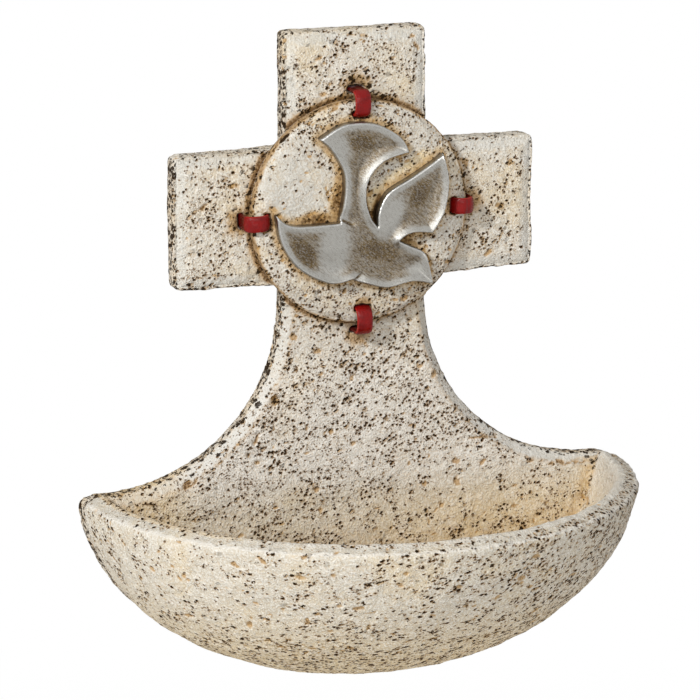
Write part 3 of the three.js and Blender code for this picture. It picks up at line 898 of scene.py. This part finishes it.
class STOUP_OT_medallion(bpy.types.Operator):
    """Shapes the round stone behind the dove"""

    bl_idname = "stoup.medallion"
    bl_label = "Medallion"

    def execute(self, context):
        stone = context.scene.stoup.stone
        mesh = even_copy([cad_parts["medallion"].data], stone.disc_voxel, stone.wear_steps)
        points, normals = arrays(mesh)
        x, y, z = points.T
        edge = convexity(mesh, points, normals)
        away = np.hypot(x - DISC_CENTRE[0], z - DISC_CENTRE[1])
        front = smooth(-normals[:, 1], 0.2, 0.7) * smooth(-y, 9.5, 10.5)
        back = smooth(normals[:, 1], 0.1, 0.5)
        calm = np.where((y > -10.6) & (away < 30), 0, 1 - back)
        rough = 0.2 * mottle(points, 9, SEED + 11) + 0.1 * mottle(points, 3, SEED + 12)
        rough += 0.05 * mottle(points, 1.6, SEED + 13)
        slope = front * 0.7 * smooth(away, 25.5, 31.5)
        flat = np.stack([x, z], 1)
        contour, _ = loop_facts(flat, DOVE_LOOP[::3])
        near = front * (1 - smooth(contour, 0.5, 6.0))
        channel = front * stripe(flat, *CHANNEL, core=0.5)
        middle, reach = SMOOTH_PART
        calmed = front * patch(flat, middle, 0.6 * reach, 1.1 * reach)
        crowd = 0.3 + smooth(mottle(points, 7, SEED + 14), -0.2, 0.6) + 1.6 * near
        weights = calm * crowd * smooth(contour, -0.6, 0.2)
        depth, dark, hole = sink_pits(points, normals, weights, stone.disc_pits, (0.4, 1.1), 0.6, SEED + 15)
        put_points(mesh, points + normals * (calm * (rough - depth) - slope)[:, None])
        enclosed = np.zeros_like(x)
        for middle, reach in HOLLOWS:
            enclosed = np.maximum(enclosed, patch(flat, middle, 0, reach))
        gold = front * (1 - smooth(contour / (1 + 0.9 * enclosed), 0.5, 3.0)) * (0.6 + 0.4 * enclosed)
        # Painted shade round where the straps go into the medallion, and on the medallion's side wall
        holes = front * (1 - smooth(strap_ends(x, z, True), 1.0, 4.5))
        rim = (1 - front) * 0.75
        # Painted shadow of the neck on the medallion, and painted black shadow in the narrow end of the
        # channel
        neck_shadow = front * stripe(flat, *NECK_SHADOW, core=0.6) * (1 - smooth(contour, 0.4, 1.9))
        crevice_shadow = front * stripe(flat, *CREVICE_SHADOW, core=0.5) * (1 - smooth(contour, 0.3, 1.3))
        crowded = 0.4 * (smooth(-z, 12.0, 20.0) + 0.6 * smooth(z, 14.0, 24.0))
        crowded += 0.6 * near / front.clip(0.1)
        put_masks(
            mesh,
            pit=dark * calm,
            hole=np.maximum(hole * calm, 0.6 * crevice_shadow),
            wash=np.maximum.reduce([gold, 0.85 * holes, rim, 1.3 * neck_shadow]),
            wear=smooth(edge, 0.004, 0.03) * smooth(away, 27.0, 30.0),
            bare=np.maximum(0.85 * calmed, 0.7 * channel),
            coarse=0.4 * rim,
            porous=front * (1 - calmed) * (1 - channel) * crowded,
            warm=np.maximum(0.9 * gold, channel),
        )
        face = stone_material(
            "medallion_stone", stone.disc, stone, 0.6, CROSS_STRETCH, 0.6, 0.2, 0.75, 1.15, 0.25
        )
        finish_piece("stone_medallion", mesh, face, "stone", "medallion")
        return {"FINISHED"}


# Dove


def dove_outline():
    """The dove's widest section as a closed loop of (X, Z), in millimetres, anticlockwise."""
    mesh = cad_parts["dove"].data
    points = np.array([v.co for v in mesh.vertices]) / MM
    levels = np.unique(np.round(points[:, 1], 3))
    face = levels.min()
    section = next(level for level in levels if level > face + 0.35)
    spots = {}
    for vert, point in zip(mesh.vertices, points):
        if abs(point[1] - section) < 0.002:
            spots.setdefault((round(point[0], 3), round(point[2], 3)), []).append(vert.index)
    key_of = {index: key for key, indices in spots.items() for index in indices}
    links = {key: set() for key in spots}
    for edge in mesh.edges:
        a, b = (key_of.get(i) for i in edge.vertices)
        if a is not None and b is not None and a != b:
            links[a].add(b)
            links[b].add(a)
    start = min(links)
    loop, previous, current = [start], None, start
    while True:
        onward = [key for key in links[current] if key != previous]
        previous, current = current, onward[0]
        if current == start:
            break
        loop.append(current)
    loop = np.array(loop)
    area = (loop[:, 0] * np.roll(loop[:, 1], -1) - loop[:, 1] * np.roll(loop[:, 0], -1)).sum()
    return loop if area > 0 else loop[::-1]


def rounded_loop(loop, steps=5, corner=38):
    """The loop with a smooth curve drawn through it, except at its sharp corners."""
    before, after = np.roll(loop, 1, 0), np.roll(loop, -1, 0)
    into, onward = loop - before, after - loop
    turn = np.abs(np.degrees(np.arctan2(
        into[:, 0] * onward[:, 1] - into[:, 1] * onward[:, 0], (into * onward).sum(1)
    )))
    tangent = np.where((turn > corner)[:, None], 0, (after - before) / 2)
    made = []
    for i in range(len(loop)):
        j = (i + 1) % len(loop)
        a, b = loop[i], loop[j]
        ta = tangent[i] if tangent[i].any() else (b - a)
        tb = tangent[j] if tangent[j].any() else (b - a)
        for t in np.arange(steps) / steps:
            made.append(
                (2 * t**3 - 3 * t**2 + 1) * a + (t**3 - 2 * t**2 + t) * ta
                + (3 * t**2 - 2 * t**3) * b + (t**3 - t**2) * tb
            )
    return np.array(made)


# Points measured at a time
BLOCK = 4000


def loop_facts(points, loop):
    """Distance of points from a loop, below 0 inside, and how far its nearby edges face down and right."""
    after = np.roll(loop, -1, 0)
    run = after - loop
    size = np.linalg.norm(run, axis=1)
    outward = np.stack([run[:, 1], -run[:, 0]], 1) / size[:, None]
    facing = outward @ np.array([0.72, -0.69])
    distance = np.empty(len(points))
    lean = np.empty(len(points))
    for begin in range(0, len(points), BLOCK):
        block = points[begin:begin + BLOCK, None]
        along = np.clip(((block - loop) * run).sum(2) / size**2, 0, 1)
        gap = np.linalg.norm(block - loop - along[:, :, None] * run, axis=2)
        weight = size / (gap + 0.25) ** 4
        lean[begin:begin + BLOCK] = (weight * facing).sum(1) / weight.sum(1)
        crossing = (loop[:, 1] > block[:, :, 1]) != (after[:, 1] > block[:, :, 1])
        with np.errstate(divide="ignore", invalid="ignore"):
            at = loop[:, 0] + (block[:, :, 1] - loop[:, 1]) / run[:, 1] * run[:, 0]
        odd = (crossing & (block[:, :, 0] < at)).sum(1) % 2
        distance[begin:begin + BLOCK] = np.where(odd, -1, 1) * gap.min(1)
    return distance, lean


DOVE_LOOP = rounded_loop(dove_outline())

# Stretch of X and of Z that holds the whole dove, and its foot, in millimetres
DOVE_WIDTH = (-28, 27)
DOVE_HEIGHT = (-22, 29)
DOVE_FOOT = DISC_FACE + 0.25
# Hollows of the tail, the wings, the body, the neck and the head: middle, half sizes, turn in degrees,
# depth, and how brown they are
DISHES = [
    ((-0.8, 21.0), (8.0, 5.0), -6, 0.45, 0.9),
    ((-17.2, -8.9), (10.0, 4.6), -46, 0.7, 1.0),
    ((16.2, 5.6), (5.0, 8.5), -28, 0.5, 0.9),
    ((4.0, -9.5), (14.0, 7.0), -20, 0.35, 0.8),
    ((-3.2, 10.0), (3.4, 11.0), 4, 0.25, 0.5),
    ((13.5, -14.0), (5.5, 3.4), -15, 0.2, 0.5),
]
# Parts of the dove rubbed clean: middle, half sizes and turn in degrees
CLEAN = [
    ((-9.0, -8.6), (4.4, 9.0), -8),
    ((7.6, -0.5), (3.0, 6.5), -25),
    ((-8.8, 20.0), (4.0, 5.0), 30),
    ((17.0, -16.5), (4.5, 2.6), -15),
]
# Short steps where the left wing's end stands over the body: start, end and which side is the higher
SEAMS = [((-6.6, -0.6), (-2.8, -2.7), 1), ((-4.9, -17.6), (-0.8, -15.3), -1)]


def oval(points, middle, halves, degrees):
    """Distance of 2-D points from an oval's middle, 1 on its edge."""
    away = points - np.array(middle)
    cos, sin = math.cos(math.radians(degrees)), math.sin(math.radians(degrees))
    across = (away[:, 0] * cos + away[:, 1] * sin) / halves[0]
    up = (away[:, 1] * cos - away[:, 0] * sin) / halves[1]
    return np.hypot(across, up)


class STOUP_OT_dove(bpy.types.Operator):
    """Models the pewter dove's dished and rimmed face"""

    bl_idname = "stoup.dove"
    bl_label = "Dove"

    def execute(self, context):
        dove = context.scene.stoup.dove
        step = dove.spacing / MM
        rows = np.arange(*DOVE_HEIGHT, step * math.sqrt(3) / 2)
        columns = np.arange(*DOVE_WIDTH, step)
        grid = np.array([(x + (i % 2) * step / 2, z) for i, z in enumerate(rows) for x in columns])
        depth_in, _ = loop_facts(grid, DOVE_LOOP)
        grid = grid[depth_in < -0.55 * step]
        flat = np.concatenate([DOVE_LOOP, grid])
        count = len(DOVE_LOOP)
        ring = [(i, (i + 1) % count) for i in range(count)]
        spots, _, faces, _, _, _ = delaunay_2d_cdt([Vector(p) for p in flat], ring, [], 1, 1e-6)
        if len(spots) != len(flat):
            raise RuntimeError("the dove's outline crosses itself")
        height, hollow, rim = self.relief(flat, dove)
        verts = [(x * MM, (DOVE_FOOT - h) * MM, z * MM) for (x, z), h in zip(flat, height)]
        verts += [(x * MM, DOVE_FOOT * MM, z * MM) for x, z in DOVE_LOOP]
        base = len(flat)
        sides = [(i, base + i, base + j, j) for i, j in ring]
        mesh = bpy.data.meshes.new("pewter_dove")
        mesh.from_pydata(verts, [], [tuple(f) for f in faces] + sides + [tuple(range(base, base + count))])
        self.face_out(mesh)
        hollow = np.concatenate([hollow, np.full(count, 0.6)])
        put_masks(mesh, wash=hollow, wear=np.concatenate([rim, np.zeros(count)]))
        finish_piece("pewter_dove", mesh, pewter_material(dove), "pewter", "dove")
        return {"FINISHED"}

    @staticmethod
    def face_out(mesh):
        work = bmesh.new()
        work.from_mesh(mesh)
        bmesh.ops.triangulate(work, faces=[f for f in work.faces if len(f.verts) > 4])
        bmesh.ops.recalc_face_normals(work, faces=work.faces[:])
        work.to_mesh(mesh)
        work.free()

    @staticmethod
    def relief(flat, dove):
        distance, lean = loop_facts(flat, DOVE_LOOP)
        inward = np.maximum(-distance, 0)
        inward[: len(DOVE_LOOP)] = 0
        raised = smooth(lean, -0.35, 0.75)
        edge, rim, lift, dish = (size / MM for size in (dove.edge, dove.rim, dove.lift, dove.dish))
        crest = rim + lift * raised
        turn = np.sqrt(1 - (1 - np.clip(inward / 0.6, 0, 1)) ** 2)
        height = edge + (crest - edge) * turn
        reach = 2.0 + 3.0 * raised
        fall = 1 - (1 - np.clip(inward / reach, 0, 1)) ** 2
        height -= dish * (0.15 + 1.05 * raised) * fall
        hollow = 0.5 * smooth(inward, 0.6, 2.6)
        fade = smooth(inward, 0.5, 2.2)
        for middle, halves, degrees, deep, brown in DISHES:
            bowl = 1 - smooth(oval(flat, middle, halves, degrees), 0.0, 1.2)
            height -= deep * bowl * fade
            hollow = np.maximum(hollow, bowl * fade * brown)
        for middle, halves, degrees in CLEAN:
            hollow *= smooth(oval(flat, middle, halves, degrees), 0.2, 1.5)
        for start, end, side in SEAMS:
            start, run = np.array(start), np.subtract(end, start)
            along = (flat - start) @ run / (run @ run)
            beside = (flat - start) @ np.array([run[1], -run[0]]) / np.linalg.norm(run) * side
            held = smooth(along, -0.4, -0.1) * (1 - smooth(along, 0.5, 1.2)) * smooth(inward, 0, 0.4)
            near = 1 - smooth(np.abs(beside), 1.0, 5.0)
            height += dove.seam / MM * held * near * (smooth(beside, -0.3, 0.2) - 1)
            # A dark line at the foot of each step, on its lower side, is painted shade
            hollow = np.maximum(hollow, held * (1 - smooth(np.abs(beside + 0.35), 0.15, 0.5)))
        rim_mask = (1 - smooth(inward, 0.3, 0.8)) * smooth(inward, 0.0, 0.2)
        return height, hollow, rim_mask


# Straps


class STOUP_OT_straps(bpy.types.Operator):
    """Bends the red straps over the medallion's rim"""

    bl_idname = "stoup.straps"
    bl_label = "Straps"

    def execute(self, context):
        strap = context.scene.stoup.strap
        finish = enamel_material(strap)
        for name, (angle, outer) in STRAPS.items():
            mesh = self.bent(strap, outer, "enamel_strap_" + name)
            turn = Matrix.Rotation(math.radians(-angle), 4, "Y")
            middle = Matrix.Translation((DISC_CENTRE[0] * MM, 0, DISC_CENTRE[1] * MM))
            mesh.transform(middle @ turn)
            finish_piece("enamel_strap_" + name, mesh, finish, "enamel", "strap_" + name)
        return {"FINISHED"}

    @staticmethod
    def bent(strap, reach, name):
        """A strap reaching along +X: a rounded flat section swept over the rim and into both slots."""
        half_thick = strap.thickness / MM / 2
        half_wide = strap.width / MM / 2
        outer, inner = reach - half_thick, STRAP_INNER + half_thick
        top = -DISC_FACE + 0.3 + half_thick
        bend = 2.3
        path = [(outer, -SLAB_FACE - 2.6), (outer, -SLAB_FACE), (outer, top - bend)]
        arc = np.radians(np.arange(10, 91, 10))
        path += [(outer - bend + bend * math.cos(a), top - bend + bend * math.sin(a)) for a in arc]
        path += [(r, top + 0.12 * math.sin(math.pi * (outer - r) / (outer - inner)))
                 for r in np.linspace(outer - bend, inner + bend, 6)[1:]]
        path += [(inner + bend - bend * math.sin(a), top - bend + bend * math.cos(a)) for a in arc]
        path += [(inner, -DISC_FACE - 1.0), (inner, -DISC_FACE - 2.5)]
        path = np.array(path)
        heading = np.gradient(path, axis=0)
        heading /= np.linalg.norm(heading, axis=1)[:, None]
        side = np.stack([heading[:, 1], -heading[:, 0]], 1)
        angles = np.linspace(0, 2 * math.pi, 28, endpoint=False)
        power = 2 / 2.8
        wide = np.sign(np.cos(angles)) * np.abs(np.cos(angles)) ** power * half_wide
        thick = np.sign(np.sin(angles)) * np.abs(np.sin(angles)) ** power * half_thick
        work = bmesh.new()
        rings = []
        for spot, across in zip(path, side):
            ring = []
            for w, t in zip(wide, thick):
                r, depth = spot + across * t
                ring.append(work.verts.new((r * MM, -depth * MM, w * MM)))
            rings.append(ring)
        for ring, following in zip(rings, rings[1:]):
            for i in range(len(ring)):
                j = (i + 1) % len(ring)
                work.faces.new((ring[i], ring[j], following[j], following[i]))
        work.faces.new(rings[0][::-1])
        work.faces.new(rings[-1])
        bmesh.ops.recalc_face_normals(work, faces=work.faces[:])
        mesh = bpy.data.meshes.new(name)
        work.to_mesh(mesh)
        work.free()
        share_wide = np.abs(np.tile(wide, len(path))) / half_wide
        drop = np.repeat(top - path[:, 1], len(wide))
        wear = smooth(share_wide, 0.8, 1.0) * (1 - smooth(drop, 1, 3))
        # Each strap is darkened towards its ends, as painted shade where it dips into the slots
        put_masks(mesh, wear=wear, wash=smooth(drop, 0.7, 3.2))
        return mesh


# Fixings and stage


class STOUP_OT_fixings(bpy.types.Operator):
    """Plates the hanger, its screws and the hidden dowels"""

    bl_idname = "stoup.fixings"
    bl_label = "Hanger and dowels"

    def execute(self, context):
        fixing = context.scene.stoup.fixing
        plated = zinc_material("zinc_plate", fixing.zinc, fixing.dull)
        turned = zinc_material("turned_steel", fixing.steel, fixing.dark)
        for name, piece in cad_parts.items():
            if "dowel" in name or "hanger" in name:
                piece.data.materials.clear()
                piece.data.materials.append(plated if name == "hanger_plate" else turned)
        return {"FINISHED"}


# Where each lamp stands and how wide it is, and what the lamps and the camera point at, in metres
LAMPS = {
    "key": ((-1.25, -0.92, 0.88), 0.18),
    "front": ((-0.66, -1.5, 0.98), 0.45),
    "fill": ((-0.42, -1.86, 0.5), 0.6),
}
LAMP_TARGET = (0, 0, -0.03)
CAMERA_TARGET = (0.00065, 0, -0.0407)
FLOOR_HALF = 9.0
SENSOR_MM = 36
# The side that the light from all round is brighter on
BRIGHT_SIDE = (-0.75, -0.3, 0.55)


class STOUP_OT_stage(bpy.types.Operator):
    """Sets the floor, the lamps and the camera"""

    bl_idname = "stoup.stage"
    bl_label = "Stage"

    def execute(self, context):
        stage = context.scene.stoup.stage
        context.scene.view_settings.view_transform = "Standard"
        self.floor(stage)
        for name, (spot, size) in LAMPS.items():
            self.lamp(name, spot, size, getattr(stage, name))
        self.world(context.scene, stage)
        data = bpy.data.cameras.new("camera")
        data.sensor_width = SENSOR_MM
        data.lens = stage.focal
        camera = add_object("camera", data)
        turn, lift = stage.azimuth, stage.elevation
        back = Vector((math.sin(turn) * math.cos(lift), -math.cos(turn) * math.cos(lift), math.sin(lift)))
        camera.location = Vector(CAMERA_TARGET) + back * stage.distance
        camera.rotation_euler = back.to_track_quat("Z", "Y").to_euler()
        context.scene.camera = camera
        return {"FINISHED"}

    @staticmethod
    def seen_rays(tree):
        """1 for rays that show the background itself, directly or in metal."""
        path = node(tree, "ShaderNodeLightPath").outputs
        either = calc(tree, "MAXIMUM", path["Is Camera Ray"], path["Is Glossy Ray"])
        return calc(tree, "MAXIMUM", either, path["Is Transmission Ray"])

    def floor(self, stage):
        mesh = bpy.data.meshes.new("floor")
        corners = [(-FLOOR_HALF, -FLOOR_HALF), (FLOOR_HALF, -FLOOR_HALF)]
        corners += [(FLOOR_HALF, FLOOR_HALF), (-FLOOR_HALF, FLOOR_HALF)]
        mesh.from_pydata([(x, y, stage.floor) for x, y in corners], [], [(0, 1, 2, 3)])
        material = bpy.data.materials.new("floor_white")
        tree = empty_tree(material)
        spot = node(tree, "ShaderNodeNewGeometry").outputs["Position"]
        away = node(tree, "ShaderNodeVectorMath", {0: spot}, operation="LENGTH").outputs["Value"]
        shown = times(tree, self.seen_rays(tree), remap(tree, away, 0.5, 1.3, 0.6, 1.0))
        paint = node(tree, "ShaderNodeBsdfDiffuse", {"Color": (0.95, 0.95, 0.95, 1)})
        glow = node(tree, "ShaderNodeEmission", {"Color": (1, 1, 1, 1), "Strength": 1.0})
        mixed = node(tree, "ShaderNodeMixShader", {0: shown, 1: paint.outputs[0], 2: glow.outputs[0]})
        node(tree, "ShaderNodeOutputMaterial", {"Surface": mixed.outputs[0]})
        mesh.materials.append(material)
        floor = add_object("floor", mesh)

    @staticmethod
    def lamp(name, spot, size, power):
        data = bpy.data.lights.new(name, "AREA")
        data.size = size
        data.energy = power
        lamp = add_object(name, data)
        lamp.location = spot
        lamp.rotation_euler = (Vector(spot) - Vector(LAMP_TARGET)).to_track_quat("Z", "Y").to_euler()

    def world(self, scene, stage):
        world = bpy.data.worlds.new("studio")
        tree = empty_tree(world)
        towards = node(tree, "ShaderNodeTexCoord").outputs["Generated"]
        aim = node(tree, "ShaderNodeVectorMath", {0: towards, 1: BRIGHT_SIDE}, operation="DOT_PRODUCT")
        soft = remap(tree, aim.outputs["Value"], -1.0, 1.0, 1.16 * stage.ambient, 1.36 * stage.ambient)
        shown = self.seen_rays(tree)
        lighting = times(tree, soft, calc(tree, "SUBTRACT", 1.0, shown))
        strength = calc(tree, "MAXIMUM", shown, lighting)
        glow = node(tree, "ShaderNodeBackground", {"Color": (1, 1, 1, 1), "Strength": strength})
        node(tree, "ShaderNodeOutputWorld", {"Surface": glow.outputs[0]})
        scene.world = world


class STOUP_PT_panel(bpy.types.Panel):
    """Lists the stoup's pieces in the order they are made"""

    bl_label = "Stoup"
    bl_idname = "STOUP_PT_panel"
    bl_space_type = "VIEW_3D"
    bl_region_type = "UI"
    bl_category = "Stoup"

    def draw(self, context):
        for operator in OPERATORS:
            self.layout.operator(operator.bl_idname)


OPERATORS = (
    STOUP_OT_casting,
    STOUP_OT_medallion,
    STOUP_OT_dove,
    STOUP_OT_straps,
    STOUP_OT_fixings,
    STOUP_OT_stage,
)
CLASSES = (
    StoneSettings,
    DoveSettings,
    StrapSettings,
    FixingSettings,
    StageSettings,
    StoupSettings,
    *OPERATORS,
    STOUP_PT_panel,
)


def register():
    for cls in CLASSES:
        bpy.utils.register_class(cls)
    bpy.types.Scene.stoup = PointerProperty(type=StoupSettings)


def unregister():
    del bpy.types.Scene.stoup
    for cls in reversed(CLASSES):
        bpy.utils.unregister_class(cls)


def main():
    register()
    bpy.ops.stoup.casting()
    bpy.ops.stoup.medallion()
    bpy.ops.stoup.dove()
    bpy.ops.stoup.straps()
    bpy.ops.stoup.fixings()
    bpy.ops.stoup.stage()


if __name__ == "__main__":
    main()
